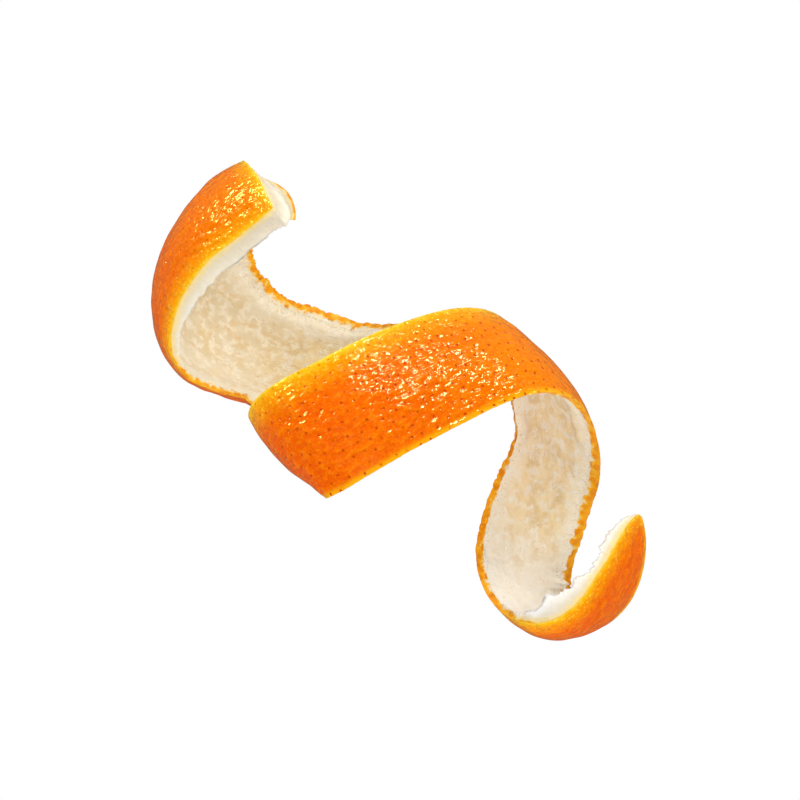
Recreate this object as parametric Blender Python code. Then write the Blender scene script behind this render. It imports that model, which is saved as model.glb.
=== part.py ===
"""A strip of orange peel, cut round the fruit in one spiral and left lying on its side.

The strip is modelled as a ribbon. A frame of three axes (along the strip, across it and out
through the rind) travels along the centre line and turns by the curl, bend and twist of each
station. Every cross-section is an arc on that frame, the pith follows one thickness inside the
rind, and the long edges are slanted knife cuts. Lengths are in millimetres until the mesh is made.
"""

import math

import bpy
import numpy as np

MM = 0.001

# The strip, seen from its rind side and travelling from the broad end to the tip.
# along: distance from the middle of the front turn to the station
# curl:  bend away from the rind, in degrees for each 10 mm
# bend:  bend towards the left edge, in the strip's own surface, in degrees for each 10 mm
# twist: turn about the centre line, in degrees for each 10 mm
# arch:  radius of the cross-section
STATIONS = (
    # along  curl  bend  twist  arch
    (-294, 28.8, -1.5, 22.2, 21.6),  # broad end
    (-240, 8.0, -6.0, -2.0, 25),
    (-205, 10.0, -3.0, -3.5, 23),
    (-172, 16.5, -4.5, 4.0, 25),  # fold of the bowl
    (-146, 12.5, -1.0, 2.5, 22),
    (-124, 8.0, 14.5, 0.0, 34),
    (-104, 1.5, 25.5, 1.0, 30),  # corner behind the front turn
    (-84, 4.0, 17.5, 6.5, 31),
    (-62, 22.5, -7.5, 9.5, 29),  # left fold
    (-42, 34.5, -11.0, 4.5, 106),
    (-18, 18.0, 2.5, -1.0, 58),
    (18, -2.0, -1.5, 4.0, 64),  # front turn
    (56, 16.0, -6.0, 4.5, 70),  # right fold
    (92, 14.0, 3.5, 6.0, 44),
    (126, 5.0, 0.5, 13.0, 55),  # back strand
    (156, 18.5, -7.0, 10.0, 34),
    (186, 33.5, -7.5, 1.5, 30),  # loop at the bottom
    (216, 15.5, -0.5, 7.5, 36),
    (244, 8.5, -7.0, 1.0, 32),  # tip
)
# Width of the strip on each side of its centre line.
WIDTHS = (
    # along  left  right
    (-294, 30.0, 33.8),
    (-282, 30.0, 33.8),
    (-270, 30.0, 33.0),
    (-240, 30.0, 30.5),
    (-205, 32.3, 32.0),
    (-172, 34.6, 34.0),
    (-146, 28.5, 32.0),
    (-124, 25.5, 29.0),
    (-104, 16.5, 38.5),
    (-84, 19.5, 26.0),
    (-62, 20.0, 15.5),
    (-48, 20.0, 17.4),
    (-42, 20.0, 18.8),
    (-30, 19.8, 20.4),
    (-18, 19.5, 20.2),
    (0, 19.5, 19.4),
    (56, 19.5, 19.0),
    (92, 20.5, 19.5),
    (100, 21.6, 19.5),
    (112, 16.0, 19.2),
    (126, 15.4, 17.8),
    (142, 16.5, 19.4),
    (156, 18.0, 20.2),
    (170, 18.0, 19.0),
    (186, 17.4, 16.8),
    (216, 13.6, 11.8),
    (230, 9.0, 7.8),
    (244, 3.2, 2.8),
)
# How far the pith runs past the rind at each edge: above 0 the cut faces the rind side.
SLANTS = (
    # along  left right
    (-294, 9.8, -0.5),
    (-286, 9.0, -0.6),
    (-282, 7.4, -0.8),
    (-277, 5.3, -1.0),
    (-272, 4.3, -1.2),
    (-264, 4.8, -1.5),
    (-248, 6.0, -2.0),
    (-232, 5.5, -2.3),
    (-205, 2.5, -2.8),
    (-180, 0.5, -3.0),
    (-150, -2.0, -3.0),
    (-90, -1.0, -3.0),
    (-30, 0.5, -0.5),
    (60, 0.0, -1.0),
    (100, -2.0, -3.0),
    (160, -2.0, -2.5),
    (186, 2.0, -1.0),
    (196, 6.0, 0.5),
    (204, 7.5, 1.0),
    (212, 3.5, 1.0),
    (220, 1.6, 0.8),
    (227, 4.2, 0.4),
    (236, 2.6, 0.0),
    (244, 0.5, -0.5),
)
# How far in from the first station the strip ends, across its broad end.
BROAD_END = (
    # side  rind pith
    (-1.0, 18.0, 15.0),
    (-0.97, 22.5, 18.5),
    (-0.93, 31.0, 25.0),
    (-0.88, 39.5, 32.5),
    (-0.75, 44.5, 39.0),
    (-0.5, 42.5, 42.0),
    (-0.25, 38.0, 37.5),
    (0.0, 34.8, 34.2),
    (0.25, 31.3, 29.2),
    (0.5, 27.8, 24.6),
    (0.75, 24.6, 18.0),
    (1.0, 18.8, 9.0),
)
THICKNESS = 4.6
TIP_THICKNESS = 2.4
TIP_TAPER = 40.0  # length over which the tip thins
END_FADE = 60.0  # length over which the rows straighten again behind the broad end
TIP_ROUND = 8.0  # length over which the tip rounds off
TIP_LEAST = 0.3  # share of the width that the tip keeps

# Place and attitude of the frame at the middle of the front turn (along = 0).
MIDDLE = (-3.0, 3.0, 79.0)
HEADING, CLIMB, ROLL = 27.0, -29.0, 10.0  # degrees

STEP = 2.0  # between frames on the centre line
REACH = 2.0  # of the differences that a normal is worked out from
SPREAD = 0.6  # how much closer the columns lie at the edges: 0 gives even columns
ROWS = 156  # along the strip
COLUMNS = 13  # across it
FLAT = 1.2  # depth of the small flats that the peel rests on

RIND_COLOUR = (1.0, 0.27, 0.01, 1.0)
RIND_ROUGHNESS = 0.38


def eased(table, column, along):
    """The value of one column of a table at a distance along the strip."""
    places = [row[0] for row in table]
    return np.interp(along, places, [row[column] for row in table])


def attitude(heading, climb, roll):
    """Frame with its first axis along the strip, its second to the left and its third out of the rind."""
    heading, climb, roll = np.radians((heading, climb, roll))
    ahead = np.array(
        (
            math.cos(heading) * math.cos(climb),
            math.sin(heading) * math.cos(climb),
            math.sin(climb),
        )
    )
    level = np.array((-math.sin(heading), math.cos(heading), 0.0))
    upright = np.cross(ahead, level)
    out = math.cos(roll) * upright + math.sin(roll) * level
    return np.stack((ahead, np.cross(out, ahead), out), axis=1)


def turned(frame, turn):
    """The frame after a small turn, given as a rotation vector on the frame's own axes."""
    angle = float(np.linalg.norm(turn))
    if angle < 1e-9:
        return frame
    x, y, z = turn / angle
    cross = np.array(((0, -z, y), (z, 0, -x), (-y, x, 0)))
    rotation = (
        np.eye(3) + math.sin(angle) * cross + (1 - math.cos(angle)) * (cross @ cross)
    )
    return frame @ rotation


def travel():
    """Distances, points and frames of the centre line, worked out both ways from its middle."""
    first, last = STATIONS[0][0], STATIONS[-1][0]
    distances = np.arange(first, last + STEP / 2, STEP)
    middle = int(round(-first / STEP))
    points = np.zeros((len(distances), 3))
    frames = np.zeros((len(distances), 3, 3))
    points[middle] = MIDDLE
    frames[middle] = attitude(HEADING, CLIMB, ROLL)
    for way in (1, -1):
        stop = len(distances) - 1 if way > 0 else 0
        for i in range(middle, stop, way):
            half_way = distances[i] + way * STEP / 2
            curl, bend, twist = (eased(STATIONS, k, half_way) for k in (1, 2, 3))
            turn = np.radians(np.array((-twist, curl, bend)) / 10) * STEP * way
            half = turned(frames[i], turn / 2)
            points[i + way] = points[i] + way * STEP * half[:, 0]
            frames[i + way] = turned(frames[i], turn)
    return distances, points, frames


def rind_point(line, along, across):
    """Points of the rind: along and across are arrays of one shape, in mm on the strip."""
    distances, points, frames = line
    centre = np.stack(
        [np.interp(along, distances, points[:, k]) for k in range(3)], axis=-1
    )
    left, out = (
        np.stack(
            [np.interp(along, distances, frames[:, k, axis]) for k in range(3)], axis=-1
        )
        for axis in (1, 2)
    )
    radius = eased(STATIONS, 4, along)
    angle = across / radius
    return (
        centre
        + (radius * np.sin(angle))[..., None] * left
        - (radius * (1 - np.cos(angle)))[..., None] * out
    )


def normals(line, along, across):
    """Unit normals of the rind, outwards, at places on the strip."""
    ahead = rind_point(line, along + REACH, across) - rind_point(
        line, along - REACH, across
    )
    left = rind_point(line, along, across + REACH) - rind_point(
        line, along, across - REACH
    )
    normal = np.cross(ahead, left)
    return normal / np.linalg.norm(normal, axis=-1, keepdims=True)


def widths(along, slants):
    """Widths to the left and right edge, with the tip rounded off."""
    left, right = eased(WIDTHS, 1, along), eased(WIDTHS, 2, along)
    if slants:
        left = left + eased(SLANTS, 1, along)
        right = right + eased(SLANTS, 2, along)
    short = 1 - np.clip((STATIONS[-1][0] - along) / TIP_ROUND, 0, 1)
    share = np.maximum(np.sqrt(1 - short**2), TIP_LEAST)
    return left * share, right * share


def strip_grids():
    """The rind and pith surfaces as two grids of points, rows along the strip and columns across it."""
    line = travel()
    first, last = STATIONS[0][0], STATIONS[-1][0]
    rows = np.linspace(first, last, ROWS)
    side = np.linspace(-1, 1, COLUMNS)  # -1 at the right edge, 1 at the left
    side = (1 - SPREAD) * side + SPREAD * np.sin(side * math.pi / 2)
    rows, side = np.meshgrid(rows, side, indexing="ij")
    fade = np.clip(1 - (rows - first) / END_FADE, 0, 1)

    along = rows + eased(BROAD_END, 1, side) * fade
    left, right = widths(along, slants=False)
    rind = rind_point(line, along, np.where(side > 0, left, right) * side)

    along = rows + eased(BROAD_END, 2, side) * fade
    left, right = widths(along, slants=True)
    across = np.where(side > 0, left, right) * side
    under = rind_point(line, along, across)
    thickness = TIP_THICKNESS + (THICKNESS - TIP_THICKNESS) * np.clip(
        (last - along) / TIP_TAPER, 0, 1
    )
    pith = under - thickness[..., None] * normals(line, along, across)
    return rind, pith


def rest_on_floor(*grids):
    """Lowers the points to the floor, levels small flats there and centres the footprint."""
    points = np.concatenate([grid.reshape(-1, 3) for grid in grids])
    low, high = points.min(axis=0), points.max(axis=0)
    shift = np.array(((low[0] + high[0]) / 2, (low[1] + high[1]) / 2, low[2] + FLAT))
    placed = [grid - shift for grid in grids]
    for grid in placed:
        grid[..., 2] = np.maximum(grid[..., 2], 0.0)
    return placed


def closed_faces(rows, columns):
    """Quads of a closed body made of two grids: the rind's points come first, then the pith's."""
    pith = rows * columns
    faces = []
    for i in range(rows - 1):
        for j in range(columns - 1):
            a, b = i * columns + j, i * columns + j + 1
            c, d = b + columns, a + columns
            faces.append((a, d, c, b))
            faces.append((pith + a, pith + b, pith + c, pith + d))
    for i in range(rows - 1):
        for j, flip in ((0, False), (columns - 1, True)):
            a, b = i * columns + j, (i + 1) * columns + j
            quad = (a, pith + a, pith + b, b)
            faces.append(quad[::-1] if flip else quad)
    for j in range(columns - 1):
        for i, flip in ((0, True), (rows - 1, False)):
            a, b = i * columns + j, i * columns + j + 1
            quad = (a, pith + a, pith + b, b)
            faces.append(quad[::-1] if flip else quad)
    return faces


def peel_material():
    material = bpy.data.materials.new("orange rind")
    material.use_nodes = True
    shader = material.node_tree.nodes["Principled BSDF"]
    shader.inputs["Base Color"].default_value = RIND_COLOUR
    shader.inputs["Roughness"].default_value = RIND_ROUGHNESS
    shader.inputs["Metallic"].default_value = 0.0
    return material


def main():
    for obj in list(bpy.data.objects):
        bpy.data.objects.remove(obj, do_unlink=True)
    collection = bpy.data.collections.new("orange peel")
    bpy.context.scene.collection.children.link(collection)

    rind, pith = rest_on_floor(*strip_grids())
    points = np.concatenate((rind.reshape(-1, 3), pith.reshape(-1, 3))) * MM
    mesh = bpy.data.meshes.new("peel")
    mesh.from_pydata(points.tolist(), [], closed_faces(ROWS, COLUMNS))
    mesh.materials.append(peel_material())
    mesh.update()
    collection.objects.link(bpy.data.objects.new("peel", mesh))


main()
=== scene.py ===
"""Looks of the orange peel: pored rind, torn pith and knife cuts on the strip that the frame holds.

The strip follows the same stations as the solid. Two skins are laid on it: the rind, and the pith
with its cut faces, which meet along the cut line. Lengths are in millimetres until a mesh is made.
"""

import itertools
import math

import bpy
import numpy as np
from mathutils import Matrix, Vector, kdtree


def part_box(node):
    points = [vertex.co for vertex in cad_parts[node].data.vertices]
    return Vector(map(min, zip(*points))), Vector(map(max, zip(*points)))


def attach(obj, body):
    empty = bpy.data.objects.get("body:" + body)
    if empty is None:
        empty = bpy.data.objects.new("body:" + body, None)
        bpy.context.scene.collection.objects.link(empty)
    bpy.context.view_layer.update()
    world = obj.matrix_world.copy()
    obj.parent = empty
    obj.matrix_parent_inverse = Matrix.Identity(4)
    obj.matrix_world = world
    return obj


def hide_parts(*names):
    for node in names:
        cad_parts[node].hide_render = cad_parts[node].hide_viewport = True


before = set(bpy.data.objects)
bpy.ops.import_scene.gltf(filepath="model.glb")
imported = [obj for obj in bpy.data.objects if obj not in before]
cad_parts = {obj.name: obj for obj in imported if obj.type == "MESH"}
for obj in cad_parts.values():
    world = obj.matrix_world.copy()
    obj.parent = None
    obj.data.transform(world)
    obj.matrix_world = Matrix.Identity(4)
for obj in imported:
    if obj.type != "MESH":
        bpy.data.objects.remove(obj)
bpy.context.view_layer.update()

MM = 0.001

# ---------------------------------------------------------------- the strip, as in the solid

# The strip, seen from its rind side and travelling from the broad end to the tip.
# along: distance from the middle of the front turn to the station
# curl:  bend away from the rind, in degrees for each 10 mm
# bend:  bend towards the left edge, in the strip's own surface, in degrees for each 10 mm
# twist: turn about the centre line, in degrees for each 10 mm
# arch:  radius of the cross-section
# The values are the rounded result of a least-squares fit of the strip's edges, and were not
# chosen by hand. The place and attitude below, and some of the widths, come from the same fit.
STATIONS = (
    # along  curl  bend  twist  arch
    (-294, 28.8, -1.5, 22.2, 21.6),  # broad end
    (-240, 8.0, -6.0, -2.0, 25),
    (-205, 10.0, -3.0, -3.5, 23),
    (-172, 16.5, -4.5, 4.0, 25),  # fold of the bowl
    (-146, 12.5, -1.0, 2.5, 22),
    (-124, 8.0, 14.5, 0.0, 34),
    (-104, 1.5, 25.5, 1.0, 30),  # corner behind the front turn
    (-84, 4.0, 17.5, 6.5, 31),
    (-62, 22.5, -7.5, 9.5, 29),  # left fold
    (-42, 34.5, -11.0, 4.5, 106),
    (-18, 18.0, 2.5, -1.0, 58),
    (18, -2.0, -1.5, 4.0, 64),  # front turn
    (56, 16.0, -6.0, 4.5, 70),  # right fold
    (92, 14.0, 3.5, 6.0, 44),
    (126, 5.0, 0.5, 13.0, 55),  # back strand
    (156, 18.5, -7.0, 10.0, 34),
    (186, 33.5, -7.5, 1.5, 30),  # loop at the bottom
    (216, 15.5, -0.5, 7.5, 36),
    (244, 8.5, -7.0, 1.0, 32),  # tip
)
# Width of the strip on each side of its centre line.
WIDTHS = (
    # along  left  right
    (-294, 30.0, 33.8),
    (-282, 30.0, 33.8),
    (-270, 30.0, 33.0),
    (-240, 30.0, 30.5),
    (-205, 32.3, 32.0),
    (-172, 34.6, 34.0),
    (-146, 28.5, 32.0),
    (-124, 25.5, 29.0),
    (-104, 16.5, 38.5),
    (-84, 19.5, 26.0),
    (-62, 20.0, 15.5),
    (-48, 20.0, 17.4),
    (-42, 20.0, 18.8),
    (-30, 19.8, 20.4),
    (-18, 19.5, 20.2),
    (0, 19.5, 19.4),
    (56, 19.5, 19.0),
    (92, 20.5, 19.5),
    (100, 21.6, 19.5),
    (112, 16.0, 19.2),
    (126, 15.4, 17.8),
    (142, 16.5, 19.4),
    (156, 18.0, 20.2),
    (170, 18.0, 19.0),
    (186, 17.4, 16.8),
    (216, 13.6, 11.8),
    (230, 9.0, 7.8),
    (244, 3.2, 2.8),
)
# How far the pith runs past the rind at each edge: above 0 the cut faces the rind side.
SLANTS = (
    # along  left right
    (-294, 9.8, -0.5),
    (-286, 9.0, -0.6),
    (-282, 7.4, -0.8),
    (-277, 5.3, -1.0),
    (-272, 4.3, -1.2),
    (-264, 4.8, -1.5),
    (-248, 6.0, -2.0),
    (-232, 5.5, -2.3),
    (-205, 2.5, -2.8),
    (-180, 0.5, -3.0),
    (-150, -2.0, -3.0),
    (-90, -1.0, -3.0),
    (-30, 0.5, -0.5),
    (60, 0.0, -1.0),
    (100, -2.0, -3.0),
    (160, -2.0, -2.5),
    (186, 2.0, -1.0),
    (196, 6.0, 0.5),
    (204, 7.5, 1.0),
    (212, 3.5, 1.0),
    (220, 1.6, 0.8),
    (227, 4.2, 0.4),
    (236, 2.6, 0.0),
    (244, 0.5, -0.5),
)
# How far in from the first station the strip ends, across its broad end.
BROAD_END = (
    # side  rind pith
    (-1.0, 18.0, 15.0),
    (-0.97, 22.5, 18.5),
    (-0.93, 31.0, 25.0),
    (-0.88, 39.5, 32.5),
    (-0.75, 44.5, 39.0),
    (-0.5, 42.5, 42.0),
    (-0.25, 38.0, 37.5),
    (0.0, 34.8, 34.2),
    (0.25, 31.3, 29.2),
    (0.5, 27.8, 24.6),
    (0.75, 24.6, 18.0),
    (1.0, 18.8, 9.0),
)
THICKNESS = 4.6
TIP_THICKNESS = 2.4
TIP_TAPER = 40.0  # length over which the tip thins
END_FADE = 60.0  # length over which the rows straighten again behind the broad end
TIP_ROUND = 8.0  # length over which the tip rounds off
TIP_LEAST = 0.3  # share of the width that the tip keeps
MIDDLE = (-3.0, 3.0, 79.0)  # place of the frame at along = 0
HEADING, CLIMB, ROLL = 27.0, -29.0, 10.0  # its attitude, in degrees
STEP = 2.0  # between frames on the centre line
FLAT = 1.2  # depth of the small flats that the peel rests on
REACH = 2.0  # of the differences that a normal is worked out from
SPREAD = 0.6  # how much closer the columns lie at the edges: 0 gives even columns


# ---------------------------------------------------------------- detail of the two skins

ROWS = 880  # along the strip
ROW_SPREAD = ((0, 0.82, 1), (-294, 170, 244))  # shares of the rows, and where each share ends
COLUMNS = 96  # across it
CUT_ROWS = 7  # across a cut face
UV_BANDS = 3  # the long strip is folded into this many bands in its UV map
UV_MARGIN = 0.02
RIND_RELIEF_FADE = 1.5  # the rind's relief fades out within this distance of its edge

# Ragged edges, in mm: how far the rind's and the pith's line stray, and how far the orange
# reaches down the cut face.
RAGS = (
    # along  rind_l pith_l orange_l  rind_r pith_r orange_r
    (-294, 0.15, 0.9, 0.2, 0.9, 0.9, 0.7),
    (-260, 0.15, 0.8, 0.2, 0.9, 0.9, 0.9),
    (-240, 0.15, 0.8, 0.2, 1.2, 0.9, 2.0),
    (-200, 0.15, 0.7, 0.2, 1.3, 0.8, 2.4),
    (-170, 0.30, 0.7, 1.8, 1.3, 0.8, 2.6),
    (-110, 0.35, 0.7, 2.4, 1.0, 0.8, 2.6),
    (-60, 0.12, 0.3, 0.6, 0.2, 0.3, 0.8),
    (40, 0.12, 0.3, 0.6, 0.2, 0.3, 0.8),
    (60, 0.12, 0.3, 0.6, 0.2, 0.3, 3.2),
    (90, 0.40, 0.5, 1.6, 0.3, 0.8, 4.6),
    (120, 0.90, 0.8, 2.6, 0.5, 1.2, 4.8),
    (150, 0.80, 1.0, 3.6, 0.9, 1.8, 4.2),
    (170, 0.50, 1.0, 3.2, 0.9, 2.6, 3.4),
    (182, 0.25, 1.2, 1.0, 0.3, 0.4, 2.4),
    (190, 0.25, 1.6, 0.3, 0.2, 0.2, 1.6),
    (205, 0.15, 2.6, 0.3, 0.2, 0.2, 0.8),
    (244, 0.10, 1.6, 0.3, 0.2, 0.4, 0.6),
)
# How much yellower the rind is, as a share.
WARMTH = (
    # along share
    (-294, 0.8),
    (-250, 0.5),
    (-220, 0.15),
    (-180, 0.0),
    (-40, 0.0),
    (0, 0.08),
    (30, 0.35),
    (50, 0.7),
    (100, 0.6),
    (150, 0.1),
    (175, 0.0),
    (244, 0.1),
)
# How far in the rind's left edge is golden, as a share of the widest.
GOLD = (
    # along share
    (-294, 0.7),
    (-195, 0.6),
    (-165, 0.2),
    (-78, 0.2),
    (-62, 1.0),
    (60, 1.0),
    (85, 0.3),
    (165, 0.3),
    (185, 0.9),
    (215, 0.65),
    (244, 0.6),
)
BLOB = 3.0  # size of the scallops on a rind line
TEARS = ((4.0, 0.6), (1.6, 0.55), (0.8, 0.3))  # (size, share) of the spikes of a torn pith line
LEFT_LEAN = 0.4  # how far the left line leans outwards, as a share of how far it strays
# The pith thins by this share within this distance of its edge.
ROUNDING = (
    # along share reach
    (-294, 0.0, 2.0),
    (-266, 0.1, 2.0),
    (-246, 0.55, 2.4),
    (-180, 0.55, 2.4),
    (-150, 0.45, 2.0),
    (50, 0.45, 2.0),
    (90, 0.6, 4.0),
    (180, 0.5, 3.0),
    (244, 0.45, 2.0),
)
LEFT_SOFTENING = 0.45  # below 1 the left edge is rounded further in

PORE_SPACING = 3.3  # least distance between pores
PORE_DIMPLE = (0.8, 0.12)  # radius and depth of the dimple round a pore
RIND_LUMPS = ((12.0, 0.30), (4.0, 0.20))  # (lump size, height)
PITH_LUMPS = ((6.0, 0.40), (3.0, 0.26), (1.4, 0.08))
CUT_LUMPS = ((2.5, 0.22), (1.0, 0.14))
FIBRES = ((9.0, 2.4, 0.10), (15.0, 4.0, 0.16))  # (length, width, height)

# Colours in sRGB, from 0 to 255.
RIND_DEEP = (236, 90, 1)  # the darker blotches
RIND_MAIN = (243, 103, 1)  # the paler blotches
# painted light on the tops of the pebbled bumps, and painted shade in their hollows
PEBBLE_TOP_LIGHT = (252, 132, 4)
PEBBLE_HOLLOW_SHADE = (228, 80, 0)
RIND_WARM = (251, 142, 3)  # where WARMTH is 1
GRAIN_DARK = (234, 86, 0)
GRAIN_PALE = (253, 170, 14)
LEFT_WIDE_AND_LIT = (252, 166, 6)  # golden left edge, from its widest band (partly painted light) to the cut
LEFT_NARROW = (253, 192, 16)
LEFT_CUT = (254, 216, 84)
RIGHT_GOLD = (252, 180, 14)
PAINTED_GLINT = (255, 214, 60)  # painted glints: light caught on the grain near the golden left edge
# painted shade in the dimple round each pore
PORE_RING_SHADE = (226, 84, 0)
PORE_DOT = (196, 60, 0)
PITH_MAIN = (225, 210, 180)
PITH_BEHIND_LIT = (242, 220, 174)  # on the two stretches behind the front turn: painted light lifting the shade that the front turn casts there
PITH_TIP = (252, 249, 240)  # towards the tip
PITH_PATCH = (224, 199, 150)
PITH_VEIN = (246, 238, 222)
RIM_PALE = (243, 235, 216)
RIM_TIP = (252, 248, 238)
BOWL_SIDE_LIT = (252, 243, 224)  # the left half of the bowl, paler partly as painted light that lifts its shade beside the left cut
LOOP_WHITE = (253, 252, 250)
PITH_FIBRE = (250, 245, 233)
PITH_SPECK = (212, 162, 72)
CUT_FACE = (228, 214, 186)
# painted shade on the cut across the broad end, which faces the lamps
CUT_BROAD_END_SHADE = (206, 192, 166)
CUT_PALE = (251, 222, 138)  # beside the rind
CUT_YELLOW = (252, 196, 40)
CUT_BLOB = (240, 146, 4)  # cut glands
ZEST_GLAND = (245, 148, 3)
ZEST_BETWEEN = (251, 168, 9)

# ---------------------------------------------------------------- camera, light and stage

CAMERA_PLACE = (29.88, 15.22, 1039.37)  # beside the stations, before the strip is put in place
CAMERA_TILT = (-0.905, 1.782)  # degrees about X and about Y from straight down
CAMERA_LENS, CAMERA_SENSOR = 140.6, 36.0
SKY = 0.45
FLOOR, FLOOR_IN_GLOSS = 0.85, 0.1  # how white the floor is, and how white its mirror image
FLOOR_HALF, FLOOR_DROP = 1.5, 0.0004  # half its width and how far it lies below the peel, in metres
# (name, direction, distance, width, height, watts, colour, seen in gloss only)
LAMPS = (
    ("key", (0.52, 0.75, 0.38), 900, 460, 100, 2.5, (1.0, 0.98, 0.95), False),
    ("left", (-0.72, 0.60, 0.34), 900, 300, 90, 2.6, (1.0, 0.98, 0.95), False),
    ("top", (0.05, 0.92, 0.38), 900, 300, 300, 1.0, (1.0, 0.99, 0.96), False),
    ("fill", (0.10, -0.15, 1.0), 1400, 700, 700, 8.4, (1.0, 1.0, 1.0), False),
    ("low", (0.10, -0.95, 0.20), 900, 300, 300, 2.4, (1.0, 1.0, 1.0), False),
    ("glints", (0.39, 0.81, 0.43), 900, 320, 90, 10.0, (1.0, 0.80, 0.38), True),
    ("left_glints", (-0.79, 0.50, 0.33), 900, 320, 210, 13.5, (1.0, 0.74, 0.22), True),
)


# ================================================================ the ribbon


def at(table, column, along):
    """The value of one column of a table at distances along the strip."""
    places = [row[0] for row in table]
    return np.interp(along, places, [row[column] for row in table])


def attitude(heading, climb, roll):
    """Frame with its axes along the strip, to its left and out of the rind."""
    heading, climb, roll = np.radians((heading, climb, roll))
    ahead = np.array(
        (
            math.cos(heading) * math.cos(climb),
            math.sin(heading) * math.cos(climb),
            math.sin(climb),
        )
    )
    level = np.array((-math.sin(heading), math.cos(heading), 0.0))
    upright = np.cross(ahead, level)
    out = math.cos(roll) * upright + math.sin(roll) * level
    return np.stack((ahead, np.cross(out, ahead), out), axis=1)


def turned(axes, turn):
    """The frame after a small turn, given as a rotation vector on the frame's own axes."""
    angle = float(np.linalg.norm(turn))
    if angle < 1e-9:
        return axes
    x, y, z = turn / angle
    cross = np.array(((0, -z, y), (z, 0, -x), (-y, x, 0)))
    rotation = (
        np.eye(3) + math.sin(angle) * cross + (1 - math.cos(angle)) * (cross @ cross)
    )
    return axes @ rotation


def travel():
    """Distances, points and frames of the centre line, worked out both ways from its middle."""
    first, last = STATIONS[0][0], STATIONS[-1][0]
    distances = np.arange(first, last + STEP / 2, STEP)
    middle = int(round(-first / STEP))
    points = np.zeros((len(distances), 3))
    frames = np.zeros((len(distances), 3, 3))
    points[middle] = MIDDLE
    frames[middle] = attitude(HEADING, CLIMB, ROLL)
    for way in (1, -1):
        stop = len(distances) - 1 if way > 0 else 0
        for i in range(middle, stop, way):
            half_way = distances[i] + way * STEP / 2
            curl, bend, twist = (at(STATIONS, k, half_way) for k in (1, 2, 3))
            turn = np.radians(np.array((-twist, curl, bend)) / 10) * STEP * way
            half = turned(frames[i], turn / 2)
            points[i + way] = points[i] + way * STEP * half[:, 0]
            frames[i + way] = turned(frames[i], turn)
    return distances, points, frames


LINE = travel()


def smooth_interp(along, values):
    """Cubic interpolation of per-frame values, so that a fine mesh shows no facets."""
    place = np.clip((along - LINE[0][0]) / STEP, 0, len(LINE[0]) - 1.000001)
    i = place.astype(int)
    t = (place - i)[..., None]
    last = len(LINE[0]) - 1
    before, here, there, after = (
        values[np.clip(i + k, 0, last)] for k in (-1, 0, 1, 2)
    )
    return here + 0.5 * t * (
        there
        - before
        + t * (2 * before - 5 * here + 4 * there - after)
        + t * t * (3 * (here - there) + after - before)
    )


def rind_point(along, across):
    """Points of the rind: along and across are arrays of one shape, in mm on the strip."""
    centre = smooth_interp(along, LINE[1])
    left, out = (smooth_interp(along, LINE[2][:, :, axis]) for axis in (1, 2))
    radius = at(STATIONS, 4, along)
    angle = across / radius
    return (
        centre
        + (radius * np.sin(angle))[..., None] * left
        - (radius * (1 - np.cos(angle)))[..., None] * out
    )


def normals(along, across):
    """Unit normals of the rind, outwards, at places on the strip."""
    ahead = rind_point(along + REACH, across) - rind_point(along - REACH, across)
    left = rind_point(along, across + REACH) - rind_point(along, across - REACH)
    normal = np.cross(ahead, left)
    return normal / np.linalg.norm(normal, axis=-1, keepdims=True)


# ================================================================ noise


def lumps(points, cell, seed):
    """Smooth noise from -1 to 1 at points (..., 3), with lumps about one cell across."""
    values = np.random.default_rng(seed).uniform(-1, 1, 8192)
    place = points / cell
    base = np.floor(place).astype(np.int64)
    part = place - base
    part = part * part * (3 - 2 * part)
    total = np.zeros(points.shape[:-1])
    for corner in itertools.product((0, 1), repeat=3):
        x, y, z = (base[..., k] + corner[k] for k in range(3))
        pick = (x * 73856093) ^ (y * 19349663) ^ (z * 83492791)
        weight = np.prod(np.where(corner, part, 1 - part), axis=-1)
        total += weight * values[pick % len(values)]
    return total


def line_noise(along, cell, seed):
    place = np.stack((along, np.full_like(along, seed * 7.3), 0 * along), axis=-1)
    return lumps(place / cell, 1.0, seed)


def scallops(along, seed):
    """Round blobs along an edge, from 0 in the notches to 1 on the blobs."""
    drift = along + 2.4 * line_noise(along, 4.0, seed)
    drift = drift + 0.8 * line_noise(along, 1.7, seed + 2)
    blob = np.abs(np.sin(math.pi * drift / BLOB))
    return np.sqrt(blob) * (0.6 + 0.4 * line_noise(along, 2.6, seed + 1))


def rind_line(along, column, seed):
    """How far the rind's edge strays: blobs of cut glands on a slow waver."""
    reach = at(RAGS, column, along)
    slow = line_noise(along, 9.0, seed)
    return reach * (scallops(along, seed) - 0.7 + 0.5 * slow)


def pith_line(along, column, seed, lean=0.0):
    """How far the pith's edge strays: torn spikes of three sizes, and a lean outwards."""
    tears = sum(
        share * line_noise(along, size, seed + k)
        for k, (size, share) in enumerate(TEARS)
    )
    return at(RAGS, column, along) * (tears + lean)


# ================================================================ the two skins as grids


def widths(along, pith, torn=True):
    """Widths to the left and right edge of the rind or of the pith, with the tip rounded off."""
    left, right = at(WIDTHS, 1, along), at(WIDTHS, 2, along)
    if pith:
        left = left + at(SLANTS, 1, along)
        right = right + at(SLANTS, 2, along)
        if torn:
            left = left + pith_line(along, 2, 30, LEFT_LEAN)
            right = right + pith_line(along, 5, 40)
    elif torn:
        left = left + rind_line(along, 1, 10)
        right = right + rind_line(along, 4, 20)
    short = 1 - np.clip((STATIONS[-1][0] - along) / TIP_ROUND, 0, 1)
    share = np.maximum(np.sqrt(1 - short**2), TIP_LEAST)
    return left * share, right * share


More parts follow.
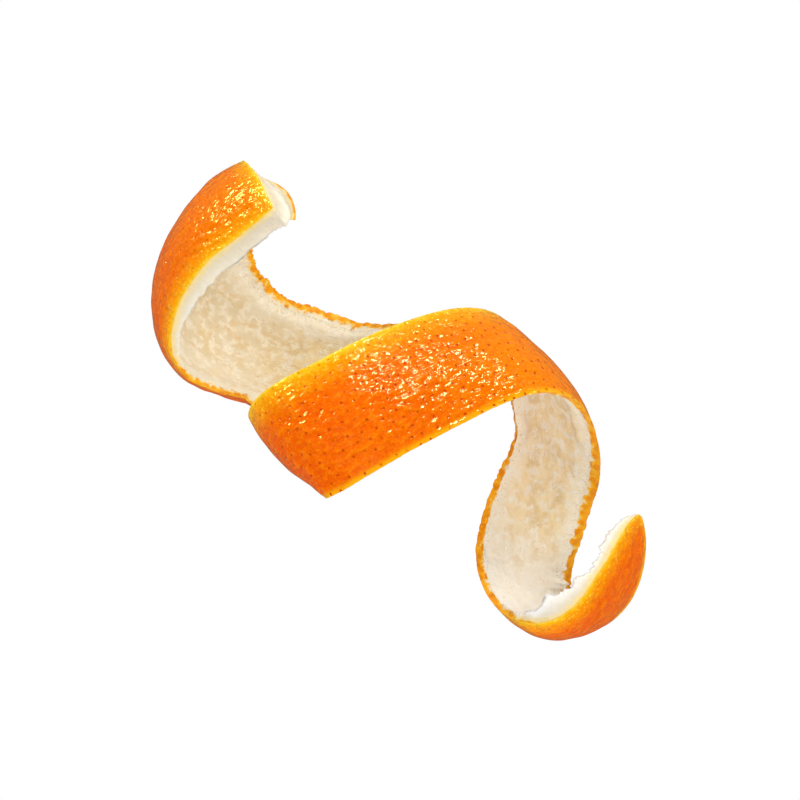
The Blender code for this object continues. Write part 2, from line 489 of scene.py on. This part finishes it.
def grid_rows(pith, torn=True):
    """Grids of the distance along the strip and of the side, from -1 at the right edge to 1."""
    side = np.linspace(-1, 1, COLUMNS)
    side = (1 - SPREAD) * side + SPREAD * np.sin(side * math.pi / 2)
    rows = np.interp(np.linspace(0, 1, ROWS), *ROW_SPREAD)
    rows, side = np.meshgrid(rows, side, indexing="ij")
    fade = np.clip(1 - (rows - STATIONS[0][0]) / END_FADE, 0, 1)
    end = at(BROAD_END, 2 if pith else 1, side)
    if torn:
        place = np.stack((side * 30, 0 * side, 0 * side), axis=-1)
        end = end + (0.5 if pith else 0.2) * lumps(place, 2.5, 70 + pith)
    return rows + np.maximum(end, 0) * fade, side


def skin_points(pith, torn=True):
    """One skin before any relief, its normals, places on the strip and distances to the edges."""
    along, side = grid_rows(pith, torn)
    left, right = widths(along, pith, torn)
    across = np.where(side > 0, left, right) * side
    points, out = rind_point(along, across), normals(along, across)
    left, right = left - across, right + across
    to_end = np.minimum(along - along[:1], along[-1:] - along)
    if pith:
        edge = np.minimum(np.minimum(LEFT_SOFTENING * left, right), to_end)
        thickness = TIP_THICKNESS + (THICKNESS - TIP_THICKNESS) * np.clip(
            (STATIONS[-1][0] - along) / TIP_TAPER, 0, 1
        )
        share, reach = at(ROUNDING, 1, along), at(ROUNDING, 2, along)
        thickness = thickness * (1 - share * np.exp(-((edge / reach) ** 2)))
        points = points - thickness[..., None] * out
    place = np.stack((along, across, 0 * along), axis=-1)
    return points, out, place, left, right, to_end


def origin():
    """Where the solid has its origin, from the untorn strip's extent and the solid's box."""
    skins = [skin_points(pith, torn=False)[0].reshape(-1, 3) for pith in (False, True)]
    points = np.concatenate(skins)
    low, high = points.min(axis=0), points.max(axis=0)
    box_low, box_high = np.array(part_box("peel")) / MM
    middle = (low + high - box_low - box_high) / 2
    return np.array((middle[0], middle[1], low[2] + FLAT))


def scatter_pores(points, spacing, seed):
    """Points of the grid no nearer to each other than the spacing, in random order."""
    order = np.random.default_rng(seed).permutation(len(points))
    kept, cells = [], {}
    for index in order:
        point = points[index]
        cell = tuple((point // spacing).astype(int))
        near = (
            other
            for offset in itertools.product((-1, 0, 1), repeat=3)
            for other in cells.get(tuple(c + o for c, o in zip(cell, offset)), ())
        )
        if all(((point - other) ** 2).sum() > spacing**2 for other in near):
            cells.setdefault(cell, []).append(point)
            kept.append(point)
    return np.array(kept)


def nearest(points, targets):
    """Vector from each point to its nearest target."""
    tree = kdtree.KDTree(len(targets))
    for index, target in enumerate(targets):
        tree.insert(target, index)
    tree.balance()
    found = [tree.find(point)[1] for point in points.reshape(-1, 3)]
    return targets[np.array(found)].reshape(points.shape) - points


# ================================================================ meshes


def grid_faces(rows, columns):
    """Quads of a grid of points, facing out of the rind."""
    index = np.arange(rows * columns).reshape(rows, columns)
    quads = np.stack(
        (index[:-1, :-1], index[1:, :-1], index[1:, 1:], index[:-1, 1:]), axis=-1
    )
    return quads.reshape(-1, 4)


def folded_uv(rows, columns):
    """UV of each quad's corners: the long strip in bands, one above the other."""
    i, j = np.meshgrid(np.arange(rows - 1), np.arange(columns - 1), indexing="ij")
    band_rows = math.ceil((rows - 1) / UV_BANDS)
    band = i // band_rows
    uv = []
    for di, dj in ((0, 0), (1, 0), (1, 1), (0, 1)):
        u = (i + di - band * band_rows) / band_rows
        v = (j + dj) / (columns - 1)
        u = UV_MARGIN + u * (1 - 2 * UV_MARGIN)
        v = (band + UV_MARGIN * 1.5 + v * (1 - 3 * UV_MARGIN)) / UV_BANDS
        uv.append(np.stack((u, v), axis=-1))
    return np.stack(uv, axis=2).reshape(-1, 2)


def skin(name, grid, facing_out, values):
    """A mesh object of one grid, with per-point values as attributes and its UV map."""
    rows, columns = grid.shape[:2]
    quads, uv = grid_faces(rows, columns), folded_uv(rows, columns)
    if not facing_out:
        quads = quads[:, ::-1]
        uv = uv.reshape(-1, 4, 2)[:, ::-1].reshape(-1, 2)
    mesh = bpy.data.meshes.new(name)
    mesh.from_pydata((grid.reshape(-1, 3) * MM).tolist(), [], quads.tolist())
    layer = mesh.uv_layers.new(name="OFBake")
    layer.data.foreach_set("uv", uv.ravel())
    for key, value in values.items():
        if value.ndim == 3:
            attribute = mesh.attributes.new(key, "FLOAT_VECTOR", "POINT")
            attribute.data.foreach_set("vector", value.astype(np.float32).ravel())
        else:
            attribute = mesh.attributes.new(key, "FLOAT", "POINT")
            attribute.data.foreach_set("value", value.astype(np.float32).ravel())
    mesh.polygons.foreach_set("use_smooth", [True] * len(mesh.polygons))
    mesh.update()
    obj = bpy.data.objects.new(name, mesh)
    bpy.context.scene.collection.objects.link(obj)
    return obj


def floor_level(grid):
    grid[..., 2] = np.maximum(grid[..., 2], 0.0)
    return grid


def make_rind(points, out, place, left, right, to_end):
    """The rind: soft lumps, and a dimple round each pore."""
    pores = scatter_pores(points.reshape(-1, 3), PORE_SPACING, 3)
    to_pore = nearest(points, pores)
    away = np.linalg.norm(to_pore, axis=-1)
    radius, depth = PORE_DIMPLE
    relief = -depth * np.exp(-((away / radius) ** 2))
    for k, (cell, height) in enumerate(RIND_LUMPS):
        relief += height * lumps(points, cell, 60 + k)
    edge = np.minimum(np.minimum(left, right), to_end)
    relief *= np.clip(edge / RIND_RELIEF_FADE, 0, 1)
    grid = floor_level(points + relief[..., None] * out)
    values = {
        "edge_left": np.minimum(left, to_end) / at(GOLD, 1, place[..., 0]),
        "edge_right": right,
        "to_pore": to_pore,
        "pore_distance": away,
        "strip": place * MM,
        "warmth": at(WARMTH, 1, place[..., 0]),
    }
    return skin("rind", grid, True, values)


def make_pith(rind, calm, pith, out, place, left, right, to_end):
    """The pith's inner side and the cut faces round it, out to the rind's edge."""
    rows = np.arange(-CUT_ROWS, ROWS + CUT_ROWS)
    columns = np.arange(-CUT_ROWS, COLUMNS + CUT_ROWS)
    i, j = np.meshgrid(rows, columns, indexing="ij")
    near = np.clip(i, 0, ROWS - 1), np.clip(j, 0, COLUMNS - 1)
    over = np.maximum(np.abs(i - near[0]), np.abs(j - near[1])) / CUT_ROWS
    calm, outer, place = calm[near], rind[near], place[near]
    edge = np.minimum(np.minimum(left, right), to_end)[near]
    share = over[..., None]
    grid = calm + share * (outer - calm) + (1 - share) ** 3 * (pith[near] - calm)

    relief = sum(h * lumps(grid, c, 80 + k) for k, (c, h) in enumerate(PITH_LUMPS))
    for k, (length, width, height) in enumerate(FIBRES):
        stretched = place / np.array((length, width, 1.0))
        relief -= height * np.abs(lumps(stretched, 1.0, 90 + k))
    relief *= np.clip(0.3 + edge / 3, 0, 1) * (1 - over) ** 2
    grid = grid - relief[..., None] * out[near]
    rough = sum(
        h * np.stack([lumps(grid, c, 100 + 10 * k + a) for a in range(3)], axis=-1)
        for k, (c, h) in enumerate(CUT_LUMPS)
    )
    grid = grid + (4 * share * (1 - share)) * rough
    orange = np.where(
        near[1] * 2 < COLUMNS, at(RAGS, 6, place[..., 0]), at(RAGS, 3, place[..., 0])
    )
    values = {
        "depth": np.linalg.norm(grid - outer, axis=-1),
        "orange": orange,
        "cut": over,
        "rim": edge,
        "rim_left": left[near],
        "broad_end": np.clip(near[0] - i, 0, 1).astype(float),
        "strip": place * MM,
    }
    return skin("pith", floor_level(grid), False, values)


# ================================================================ materials


class Nodes:
    """Adds nodes to one material; an input given as a socket is linked, any other is set."""

    def __init__(self, name):
        self.material = bpy.data.materials.new(name)
        self.material.use_nodes = True
        self.tree = self.material.node_tree
        self.shader = self.tree.nodes["Principled BSDF"]

    def put(self, node, inputs):
        for key, value in inputs.items():
            if isinstance(value, bpy.types.NodeSocket):
                self.tree.links.new(value, node.inputs[key])
            else:
                node.inputs[key].default_value = value
        return node

    def add(self, kind, inputs=None, **settings):
        node = self.tree.nodes.new(kind)
        for key, value in settings.items():
            setattr(node, key, value)
        return self.put(node, inputs or {})

    def value(self, name):
        return self.add("ShaderNodeAttribute", attribute_name=name).outputs["Fac"]

    def vector(self, name):
        return self.add("ShaderNodeAttribute", attribute_name=name).outputs["Vector"]

    def place(self):
        return self.add("ShaderNodeTexCoord").outputs["Object"]

    def math(self, operation, *values):
        inputs = dict(enumerate(values))
        return self.add("ShaderNodeMath", inputs, operation=operation).outputs[0]

    def noise(self, vector, size_mm, detail=3.0, roughness=0.5):
        """Noise with lumps of a size in millimetres, from a vector in metres."""
        inputs = {
            "Vector": vector,
            "Scale": 1 / (size_mm * MM),
            "Detail": detail,
            "Roughness": roughness,
        }
        return self.add("ShaderNodeTexNoise", inputs).outputs["Fac"]

    def fit(self, value, low, high, to_low=0.0, to_high=1.0, smooth=True):
        kind = "SMOOTHSTEP" if smooth else "LINEAR"
        inputs = {
            "Value": value,
            "From Min": low,
            "From Max": high,
            "To Min": to_low,
            "To Max": to_high,
        }
        return self.add(
            "ShaderNodeMapRange", inputs, interpolation_type=kind
        ).outputs[0]

    def mix(self, share, a, b, blend="MIX"):
        node = self.add("ShaderNodeMix", data_type="RGBA", blend_type=blend)
        sockets = {"Factor_Float": share, "A_Color": a, "B_Color": b}
        for socket in node.inputs:
            value = sockets.get(socket.identifier)
            if value is None:
                continue
            if isinstance(value, bpy.types.NodeSocket):
                self.tree.links.new(value, socket)
            else:
                socket.default_value = value if socket.type == "VALUE" else (*value, 1)
        return next(s for s in node.outputs if s.identifier == "Result_Color")

    def bump(self, height, distance_mm, strength=1.0, normal=None):
        inputs = {"Height": height, "Distance": distance_mm * MM, "Strength": strength}
        if normal is not None:
            inputs["Normal"] = normal
        return self.add("ShaderNodeBump", inputs).outputs["Normal"]


def linear(red, green, blue):
    """Linear colour of an sRGB colour from 0 to 255."""
    return tuple(
        c / 12.92 if c <= 0.04045 else ((c + 0.055) / 1.055) ** 2.4
        for c in (red / 255, green / 255, blue / 255)
    )


def rind_material():
    n = Nodes("orange rind")
    place = n.place()
    pore_length = n.add(
        "ShaderNodeVectorMath", {0: n.vector("to_pore")}, operation="LENGTH"
    ).outputs["Value"]
    near_pore = n.fit(n.value("pore_distance"), 0.9, 1.3, 1, 0)
    along = n.add("ShaderNodeSeparateXYZ", {"Vector": n.vector("strip")}).outputs["X"]

    blotch = n.noise(place, 16.0, 2.0)
    swept = n.add(
        "ShaderNodeVectorMath", {0: n.vector("strip"), 1: (0.5, 1.0, 1.0)}, operation="MULTIPLY"
    ).outputs["Vector"]
    pebble = n.noise(swept, 1.8, 1.0, 0.4)
    colour = n.mix(n.fit(blotch, 0.3, 0.7), linear(*RIND_DEEP), linear(*RIND_MAIN))
    # Painted light and shade: the noise that bumps the rind also makes its tops paler and its
    # hollows darker.
    colour = n.mix(n.fit(pebble, 0.48, 0.68, 0.0, 0.5), colour, linear(*PEBBLE_TOP_LIGHT))
    colour = n.mix(n.fit(pebble, 0.48, 0.32, 0.0, 0.35), colour, linear(*PEBBLE_HOLLOW_SHADE))
    colour = n.mix(n.value("warmth"), colour, linear(*RIND_WARM))
    grain = n.noise(place, 0.8, 2.0)
    colour = n.mix(n.fit(grain, 0.55, 0.38, 0.0, 0.2), colour, linear(*GRAIN_DARK))
    colour = n.mix(n.fit(grain, 0.5, 0.66, 0.0, 0.22), colour, linear(*GRAIN_PALE))
    wander = n.math("SUBTRACT", n.noise(place, 2.2, 4.0, 0.65), 0.5)
    left = n.math("ADD", n.value("edge_left"), n.math("MULTIPLY", wander, 4.0))
    right = n.math("ADD", n.value("edge_right"), n.math("MULTIPLY", wander, 1.6))
    # The widest golden band is partly the rind's own yellow edge and partly painted light, where
    # the left edge is the lit upper edge of the front turn.
    colour = n.mix(n.fit(left, 12.0, 0.8, 0.0, 0.8), colour, linear(*LEFT_WIDE_AND_LIT))
    colour = n.mix(n.fit(left, 3.2, 0.2, 0.0, 0.9), colour, linear(*LEFT_NARROW))
    colour = n.mix(n.fit(left, 0.9, -0.4), colour, linear(*LEFT_CUT))
    colour = n.mix(n.fit(right, 2.8, 0.2, 0.0, 0.9), colour, linear(*RIGHT_GOLD))
    # Painted glints: yellow specks of light where the grain is high, near the golden left edge.
    painted_glints = n.math("MULTIPLY", n.fit(grain, 0.56, 0.66), n.fit(left, 9.0, 2.0, 0.0, 0.75))
    colour = n.mix(painted_glints, colour, linear(*PAINTED_GLINT))

    seen = n.fit(n.noise(place, 5.0, 1.0), 0.34, 0.54, 0.25, 0.9)
    bare = n.fit(n.math("ABSOLUTE", along), 0.085, 0.06, 0.25, 1.0)
    seen = n.math("MULTIPLY", seen, n.math("MULTIPLY", bare, n.fit(left, 1.0, 8.0, 0.35, 1.0)))
    # Painted shade: the dimple round each pore is darkened, as if its walls lay in shade.
    pore_dimple_shade = n.math("MULTIPLY", n.fit(pore_length, 0.9, 0.2), near_pore)
    pore_dimple_shade = n.math("MULTIPLY", pore_dimple_shade, n.math("MULTIPLY", seen, 0.45))
    colour = n.mix(pore_dimple_shade, colour, linear(*PORE_RING_SHADE))
    dot = n.math("MULTIPLY", n.fit(pore_length, 0.65, 0.15), near_pore)
    colour = n.mix(n.math("MULTIPLY", dot, seen), colour, linear(*PORE_DOT))

    wobble = n.add(
        "ShaderNodeTexNoise", {"Vector": place, "Scale": 1 / (2.5 * MM), "Detail": 1.0}
    ).outputs["Color"]
    wobble = n.add(
        "ShaderNodeVectorMath", {0: wobble, 1: (1.2 * MM,) * 3}, operation="MULTIPLY"
    ).outputs["Vector"]
    wobbled = n.add(
        "ShaderNodeVectorMath", {0: place, 1: wobble}, operation="ADD"
    ).outputs["Vector"]
    cells = n.add(
        "ShaderNodeTexVoronoi", {"Vector": wobbled, "Scale": 1 / (1.9 * MM)}
    ).outputs["Distance"]
    normal = n.bump(n.fit(cells, 0.0, 0.6), 0.10, 1.0)
    normal = n.bump(pebble, 0.85, 1.0, normal)
    normal = n.bump(n.noise(place, 0.6, 1.0, 0.5), 0.05, 1.0, normal)
    hole = n.math("MULTIPLY", n.fit(pore_length, 0.05, 0.55), near_pore)
    hole = n.math("ADD", hole, n.math("SUBTRACT", 1, near_pore))
    normal = n.bump(hole, 0.15, 1.0, normal)
    n.put(
        n.shader,
        {
            "Base Color": colour,
            "Roughness": n.fit(n.noise(place, 3.0), 0.3, 0.7, 0.10, 0.16),
            "Normal": normal,
            "IOR": 1.38,
            "Sheen Weight": 0.15,
            "Sheen Roughness": 0.35,
            "Sheen Tint": (1.0, 0.55, 0.20, 1.0),
            "Subsurface Weight": 0.06,
            "Subsurface Radius": (1.0, 0.35, 0.08),
            "Subsurface Scale": 1.2 * MM,
        },
    )
    return n.material


def pith_material():
    n = Nodes("orange pith")
    place = n.place()
    depth, cut, rim = n.value("depth"), n.value("cut"), n.value("rim")
    along = n.add("ShaderNodeSeparateXYZ", {"Vector": n.vector("strip")}).outputs["X"]
    strip = n.add(
        "ShaderNodeVectorMath", {0: n.vector("strip"), 1: (0.6, 1.0, 1.0)}, operation="MULTIPLY"
    ).outputs["Vector"]
    warp = n.add(
        "ShaderNodeTexNoise", {"Vector": place, "Scale": 1 / (4.0 * MM), "Detail": 3.0}
    ).outputs["Color"]
    warp = n.add(
        "ShaderNodeVectorMath", {0: warp, 1: (5 * MM,) * 3}, operation="MULTIPLY"
    ).outputs["Vector"]
    strip = n.add(
        "ShaderNodeVectorMath", {0: strip, 1: warp}, operation="ADD"
    ).outputs["Vector"]

    white = n.fit(along, 0.130, 0.172)
    # Painted light: the pith on the two stretches that the front turn shades gets a paler base.
    to_behind = n.math("SUBTRACT", n.math("ABSOLUTE", along), 0.115)
    behind = n.fit(n.math("ABSOLUTE", to_behind), 0.045, 0.015)
    patch = n.fit(n.noise(strip, 4.5, 3.0, 0.55), 0.45, 0.64)
    patch = n.math("MULTIPLY", patch, n.fit(white, 0.0, 1.0, 0.9, 0.1))
    base = n.mix(behind, linear(*PITH_MAIN), linear(*PITH_BEHIND_LIT))
    base = n.mix(white, base, linear(*PITH_TIP))
    colour = n.mix(n.math("MULTIPLY", patch, 0.85), base, linear(*PITH_PATCH))
    net = n.add(
        "ShaderNodeTexVoronoi",
        {"Vector": strip, "Scale": 1 / (3.6 * MM)},
        feature="DISTANCE_TO_EDGE",
    ).outputs["Distance"]
    broken = n.fit(n.noise(place, 3.0, 2.0), 0.38, 0.62)
    vein = n.math("MULTIPLY", n.fit(net, 0.31, 0.02), broken)
    colour = n.mix(n.math("MULTIPLY", vein, 0.75), colour, linear(*PITH_VEIN))
    inward = n.math("DIVIDE", rim, n.fit(along, -0.15, -0.11, 13.0, 7.0))
    rim_white = n.mix(white, linear(*RIM_PALE), linear(*RIM_TIP))
    colour = n.mix(n.fit(inward, 1.0, 0.1, 0.0, 0.8), colour, rim_white)
    # Partly painted light: the left half of the bowl is whitened where it lies in shade beside the
    # left cut.
    bowl = n.fit(along, -0.125, -0.165)
    to_left = n.math("ADD", n.value("rim_left"), n.math("MULTIPLY", n.noise(strip, 5.0), 10.0))
    bowl_side_light = n.math("MULTIPLY", n.fit(to_left, 37.0, 24.0, 0.0, 0.38), bowl)
    bowl_side_light = n.math("MULTIPLY", bowl_side_light, n.fit(cut, 0.15, 0.0))
    colour = n.mix(bowl_side_light, colour, linear(*BOWL_SIDE_LIT))
    before_tip = n.fit(along, 0.200, 0.218, 1.0, 0.0)
    loop = n.math("MULTIPLY", n.fit(along, 0.160, 0.195, 0.0, 0.8), before_tip)
    colour = n.mix(loop, colour, linear(*LOOP_WHITE))
    fine = n.add(
        "ShaderNodeVectorMath", {0: strip, 1: (0.4, 1.0, 1.0)}, operation="MULTIPLY"
    ).outputs["Vector"]
    fibre = n.math("MULTIPLY", n.fit(n.noise(fine, 1.0, 3.0, 0.6), 0.52, 0.66), broken)
    colour = n.mix(n.math("MULTIPLY", fibre, 0.7), colour, linear(*PITH_FIBRE))
    speck = n.noise(place, 0.6, 2.0, 0.6)
    cluster = n.fit(n.noise(place, 5.0, 2.0), 0.48, 0.66)
    stained = n.fit(n.value("orange"), 0.25, 0.9)
    near_rim = n.math("MULTIPLY", n.fit(rim, 4.5, 0.5), stained)
    near_rim = n.math("MAXIMUM", near_rim, n.math("MULTIPLY", cluster, 0.8))
    gold = n.math("MULTIPLY", n.fit(speck, 0.59, 0.66), near_rim)
    colour = n.mix(n.math("MULTIPLY", gold, 0.75), colour, linear(*PITH_SPECK))
    # Painted shade: the cut across the broad end, which faces the lamps, gets a darker cream.
    cut_colour_end_shaded = n.mix(n.value("broad_end"), linear(*CUT_FACE), linear(*CUT_BROAD_END_SHADE))
    colour = n.mix(n.fit(cut, 0.0, 0.8, 0.0, 0.85), colour, cut_colour_end_shaded)

    wander = n.math("SUBTRACT", n.noise(place, 2.2, 4.0, 0.65), 0.5)
    cells = n.add(
        "ShaderNodeTexVoronoi",
        {"Vector": place, "Scale": 1 / (2.7 * MM), "Smoothness": 0.2},
        feature="SMOOTH_F1",
    ).outputs["Distance"]
    cells = n.math("ADD", cells, n.math("MULTIPLY", wander, 0.6))
    share = n.math("DIVIDE", depth, n.value("orange"))
    rough = n.math("MULTIPLY", n.math("SUBTRACT", n.noise(place, 1.5, 4.0, 0.7), 0.5), 2.4)
    share = n.math("ADD", share, n.math("ADD", rough, n.math("SUBTRACT", cells, 0.45)))
    on_cut = n.fit(cut, 0.0, 0.1)
    pale = n.math("ADD", depth, n.math("MULTIPLY", wander, 2.6))
    pale = n.math("MULTIPLY", n.fit(pale, 2.6, 0.3), on_cut)
    colour = n.mix(n.math("MULTIPLY", pale, 0.8), colour, linear(*CUT_PALE))
    yellow = n.math("MULTIPLY", n.fit(share, 1.3, 0.7), on_cut)
    colour = n.mix(yellow, colour, linear(*CUT_YELLOW))
    blobs = n.math("MULTIPLY", n.fit(cells, 0.5, 0.25), n.math("MULTIPLY", yellow, stained))
    colour = n.mix(n.math("MULTIPLY", blobs, 0.6), colour, linear(*CUT_BLOB))
    orange = n.math("MULTIPLY", n.fit(share, 0.9, 0.5), n.math("MULTIPLY", on_cut, stained))
    between = n.fit(cells, 0.3, 0.65)
    core = n.mix(between, linear(*ZEST_GLAND), linear(*ZEST_BETWEEN))
    colour = n.mix(n.math("MULTIPLY", orange, 0.85), colour, core)

    normal = n.bump(n.noise(place, 2.6, 4.0, 0.55), 0.5, 0.8)
    normal = n.bump(fibre, 0.15, 0.8, normal)
    normal = n.bump(n.fit(net, 0.0, 0.4), 0.12, 0.8, normal)
    normal = n.bump(n.noise(place, 0.5, 3.0, 0.6), 0.08, 0.8, normal)
    normal = n.bump(n.math("MULTIPLY", blobs, on_cut), 0.35, 0.8, normal)
    n.put(
        n.shader,
        {
            "Base Color": colour,
            "Roughness": n.fit(yellow, 0.0, 1.0, 0.75, 0.38),
            "Normal": normal,
            "Specular IOR Level": 0.25,
            "Subsurface Weight": 0.3,
            "Subsurface Radius": (1.0, 0.85, 0.65),
            "Subsurface Scale": 1.2 * MM,
        },
    )
    return n.material


# ================================================================ camera, light and stage


def make_camera(shift):
    data = bpy.data.cameras.new("camera")
    data.lens, data.sensor_width = CAMERA_LENS, CAMERA_SENSOR
    data.clip_start, data.clip_end = 0.01, 10.0
    camera = bpy.data.objects.new("camera", data)
    camera.location = [(v - s) * MM for v, s in zip(CAMERA_PLACE, shift)]
    camera.rotation_euler = (
        math.radians(CAMERA_TILT[0]),
        math.radians(CAMERA_TILT[1]),
        0.0,
    )
    bpy.context.scene.collection.objects.link(camera)
    bpy.context.scene.camera = camera


def make_lamps():
    for name, towards, distance, width, height, watts, colour, glossy in LAMPS:
        data = bpy.data.lights.new(name, "AREA")
        data.shape = "RECTANGLE"
        data.size, data.size_y = width * MM, height * MM
        data.energy, data.color = watts, colour
        lamp = bpy.data.objects.new(name, data)
        back = np.array(towards) / np.linalg.norm(towards)
        right = np.cross((0.0, 1.0, 0.001), back)
        right /= np.linalg.norm(right)
        matrix = np.eye(4)
        matrix[:3, :3] = np.stack((right, np.cross(back, right), back), axis=1)
        matrix[:3, 3] = back * distance * MM
        lamp.matrix_world = Matrix(matrix.tolist())
        lamp.visible_glossy, lamp.visible_diffuse = glossy, not glossy
        bpy.context.scene.collection.objects.link(lamp)


def make_sky():
    """A white room, which lights the peel softly and is left out of its gloss."""
    world = bpy.data.worlds.new("studio")
    world.use_nodes = True
    bpy.context.scene.world = world
    tree = world.node_tree
    background = tree.nodes["Background"]
    background.inputs["Color"].default_value = (1, 1, 1, 1)
    path = tree.nodes.new("ShaderNodeLightPath")
    strength = tree.nodes.new("ShaderNodeMapRange")
    strength.inputs["To Min"].default_value = SKY
    strength.inputs["To Max"].default_value = 1.0
    tree.links.new(path.outputs["Is Camera Ray"], strength.inputs["Value"])
    tree.links.new(strength.outputs[0], background.inputs["Strength"])
    world.cycles_visibility.glossy = False


def make_floor():
    """A white floor that bounces light up, and that the camera sees as plain white."""
    mesh = bpy.data.meshes.new("floor")
    half = FLOOR_HALF
    corners = [(-half, -half, 0), (half, -half, 0), (half, half, 0), (-half, half, 0)]
    mesh.from_pydata(corners, [], [(0, 1, 2, 3)])
    floor = bpy.data.objects.new("floor", mesh)
    floor.location.z = -FLOOR_DROP
    bpy.context.scene.collection.objects.link(floor)
    n = Nodes("floor white")
    n.put(n.shader, {"Roughness": 0.9, "Specular IOR Level": 0.0})
    glow = n.add("ShaderNodeEmission", {"Color": (1, 1, 1, 1), "Strength": 1.0})
    path = n.add("ShaderNodeLightPath").outputs
    seen = path["Is Camera Ray"]
    mirrored = n.fit(path["Is Glossy Ray"], 0, 1, FLOOR, FLOOR_IN_GLOSS, smooth=False)
    n.put(n.shader, {"Base Color": n.mix(mirrored, (0, 0, 0), (1, 1, 1))})
    mixed = n.add(
        "ShaderNodeMixShader",
        {0: seen, 1: n.shader.outputs[0], 2: glow.outputs[0]},
    )
    output = n.tree.nodes["Material Output"]
    n.tree.links.new(mixed.outputs[0], output.inputs["Surface"])
    mesh.materials.append(n.material)


def main():
    shift = origin()
    rind, *rind_rest = skin_points(pith=False)
    pith, *pith_rest = skin_points(pith=True)
    calm = skin_points(pith=True, torn=False)[0]
    rind, pith, calm = rind - shift, pith - shift, calm - shift
    skins = (
        (make_rind(rind, *rind_rest), rind_material()),
        (make_pith(rind, calm, pith, *pith_rest), pith_material()),
    )
    for piece, material in skins:
        piece.data.materials.append(material)
        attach(piece, "root")
        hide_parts("peel")
    make_camera(shift)
    make_lamps()
    make_sky()
    make_floor()
    bpy.context.scene.view_settings.view_transform = "Standard"


main()
